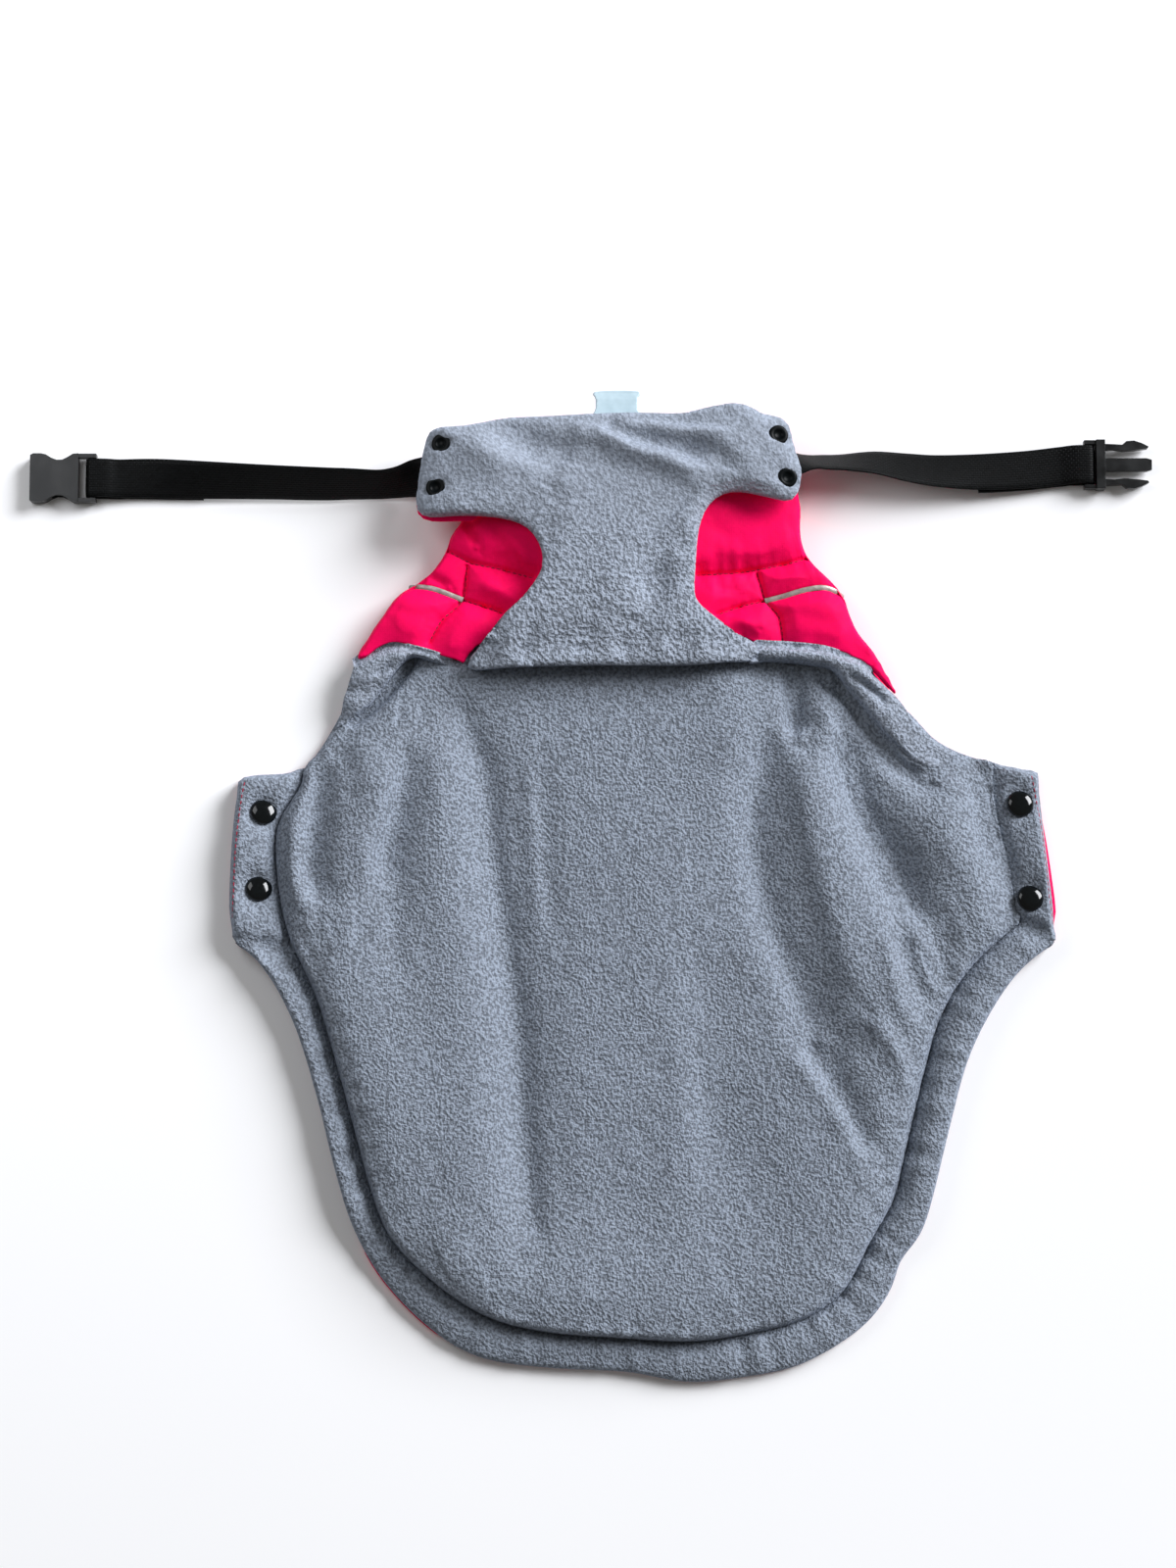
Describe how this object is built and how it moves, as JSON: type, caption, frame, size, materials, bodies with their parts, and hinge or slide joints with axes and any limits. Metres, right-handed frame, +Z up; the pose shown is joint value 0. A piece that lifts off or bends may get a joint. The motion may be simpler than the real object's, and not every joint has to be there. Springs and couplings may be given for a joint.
{
  "type": "padded dog winter coat with a buckled belly belt, laid open",
  "caption": "Red quilted dog coat laid on its back, grey fleece side up: rounded back panel, snap tabs, folded belly flap and a black webbing belt with a side-release buckle.",
  "frame": {"origin": "centre of the bounding box, on the surface the coat lies on", "axes": "+Z up from the surface, +Y towards the neck, +X towards the male buckle"},
  "size_m": [0.5764, 0.5002, 0.0329],
  "materials": {
    "red_nylon": "soft sheen nylon",
    "grey_fleece": "curled polar fleece",
    "black_webbing": "woven webbing",
    "black_plastic": "moulded, fine texture",
    "black_snap": "polished",
    "reflective_piping": "retroreflective tape",
    "white_label": "satin ribbon"
  },
  "bodies": {
    "coat": {"back_shell": "red_nylon", "back_lining": "grey_fleece", "hem_band": "grey_fleece", "tab_left": "grey_fleece", "tab_right": "grey_fleece", "chest_lining": "grey_fleece", "chest_shell": "red_nylon", "chest_edge_left": "grey_fleece", "chest_edge_right": "grey_fleece", "flap_shell": "red_nylon", "flap_lining": "grey_fleece", "belt_left": "black_webbing", "belt_right": "black_webbing", "snap_cap_left_front": "black_snap", "snap_cap_left_rear": "black_snap", "snap_cap_right_front": "black_snap", "snap_cap_right_rear": "black_snap", "snap_socket_left_front": "black_snap", "snap_socket_left_rear": "black_snap", "snap_socket_right_front": "black_snap", "snap_socket_right_rear": "black_snap", "piping_left": "reflective_piping", "piping_right": "reflective_piping", "care_label": "white_label"},
    "female_half": {"buckle_female": "black_plastic"},
    "male_half": {"buckle_male": "black_plastic"}
  },
  "joints": [
    {"name": "female_half_swing", "type": "hinge", "parent": "coat", "child": "female_half", "pos_m": [-0.2566, 0.20845, 0.00395], "axis": [0, 1, 0], "range_deg": [0, 75]},
    {"name": "male_half_swing", "type": "hinge", "parent": "coat", "child": "male_half", "pos_m": [0.2556, 0.21545, 0.00395], "axis": [0, -1, 0], "range_deg": [0, 75]}
  ]
}
